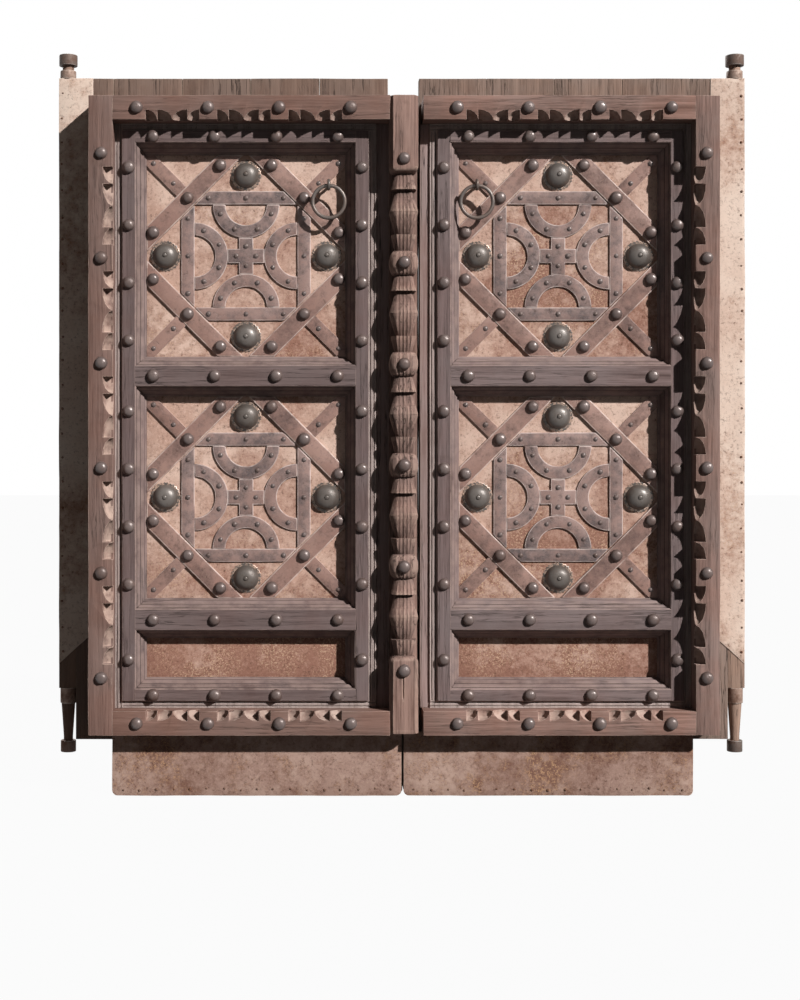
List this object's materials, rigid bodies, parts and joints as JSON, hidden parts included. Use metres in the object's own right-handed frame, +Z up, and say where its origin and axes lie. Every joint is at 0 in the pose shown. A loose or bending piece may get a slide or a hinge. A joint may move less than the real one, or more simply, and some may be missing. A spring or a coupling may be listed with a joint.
{
  "type": "carved temple door",
  "caption": "Pair of carved timber door leaves with iron strapwork, studs, domed bosses and ring pulls, turning on corner pivots.",
  "frame": {"origin": "middle of the door's box at the lower edge of the skirts", "axes": "+Z up, -Y out of the carved front, +X to the right of a person facing the front"},
  "size_m": [1.808, 0.173, 1.944],
  "materials": {
    "plank_wood": "weathered, unpainted",
    "frame_wood": "grey-brown, weathered",
    "border_wood": "reddish brown, worn",
    "strip_wood": "reddish brown, worn",
    "post_wood": "pale brown, open grain",
    "panel_sheet": "rusted sheet with old paint",
    "edge_sheet": "rusted sheet with pale old paint",
    "skirt_sheet": "rusted sheet",
    "strap_iron": "wrought strap, worn brown",
    "boss_bronze": "dark olive patina",
    "stud_iron": "wrought, handled smooth",
    "ring_iron": "wrought, handled smooth",
    "band_iron": "wrought, rusted"
  },
  "bodies": {
    "sockets": {"pivot_sockets": "band_iron"},
    "left_leaf": {"meeting_post": "post_wood", "left_planks": "plank_wood", "left_skirt": "plank_wood", "left_skirt_sheet": "skirt_sheet", "left_edge_sheet": "edge_sheet", "left_pivot_stile": "plank_wood", "left_pivot_bands": "band_iron", "left_border_stile": "border_wood", "left_border_sill": "border_wood", "left_border_head": "border_wood", "left_fillets": "frame_wood", "left_meeting_strip": "strip_wood", "left_outer_stile": "frame_wood", "left_inner_stile": "frame_wood", "left_bottom_rail": "frame_wood", "left_lower_rail": "frame_wood", "left_middle_rail": "frame_wood", "left_top_rail": "frame_wood", "left_panel_sheets": "panel_sheet", "left_square_straps": "strap_iron", "left_diagonal_straps": "strap_iron", "left_corner_straps": "strap_iron", "left_arch_straps": "strap_iron", "left_cross_straps": "strap_iron", "left_bosses": "boss_bronze", "left_studs": "stud_iron", "left_rivets": "strap_iron", "left_ledges": "plank_wood", "left_staple": "ring_iron"},
    "right_leaf": {"right_planks": "plank_wood", "right_skirt": "plank_wood", "right_skirt_sheet": "skirt_sheet", "right_edge_sheet": "edge_sheet", "right_pivot_stile": "plank_wood", "right_pivot_bands": "band_iron", "right_border_stile": "border_wood", "right_border_sill": "border_wood", "right_border_head": "border_wood", "right_fillets": "frame_wood", "right_meeting_strip": "strip_wood", "right_outer_stile": "frame_wood", "right_inner_stile": "frame_wood", "right_bottom_rail": "frame_wood", "right_lower_rail": "frame_wood", "right_middle_rail": "frame_wood", "right_top_rail": "frame_wood", "right_panel_sheets": "panel_sheet", "right_square_straps": "strap_iron", "right_diagonal_straps": "strap_iron", "right_corner_straps": "strap_iron", "right_arch_straps": "strap_iron", "right_cross_straps": "strap_iron", "right_bosses": "boss_bronze", "right_studs": "stud_iron", "right_rivets": "strap_iron", "right_ledges": "plank_wood", "right_staple": "ring_iron"},
    "left_pull": {"left_ring": "ring_iron"},
    "right_pull": {"right_ring": "ring_iron"}
  },
  "joints": [
    {"name": "left_leaf_swing", "type": "hinge", "parent": "sockets", "child": "left_leaf", "pos_m": [-0.88, 0.0425, 0.1067], "axis": [0, 0, 1], "range_deg": [0, 95]},
    {"name": "left_ring_swing", "type": "hinge", "parent": "left_leaf", "child": "left_pull", "pos_m": [-0.193, -0.0135, 1.591], "axis": [-1, 0, 0], "range_deg": [-12, 110]},
    {"name": "right_leaf_swing", "type": "hinge", "parent": "sockets", "child": "right_leaf", "pos_m": [0.88, 0.0425, 0.1067], "axis": [0, 0, -1], "range_deg": [0, 95]},
    {"name": "right_ring_swing", "type": "hinge", "parent": "right_leaf", "child": "right_pull", "pos_m": [0.193, -0.0135, 1.591], "axis": [-1, 0, 0], "range_deg": [-12, 110]}
  ]
}
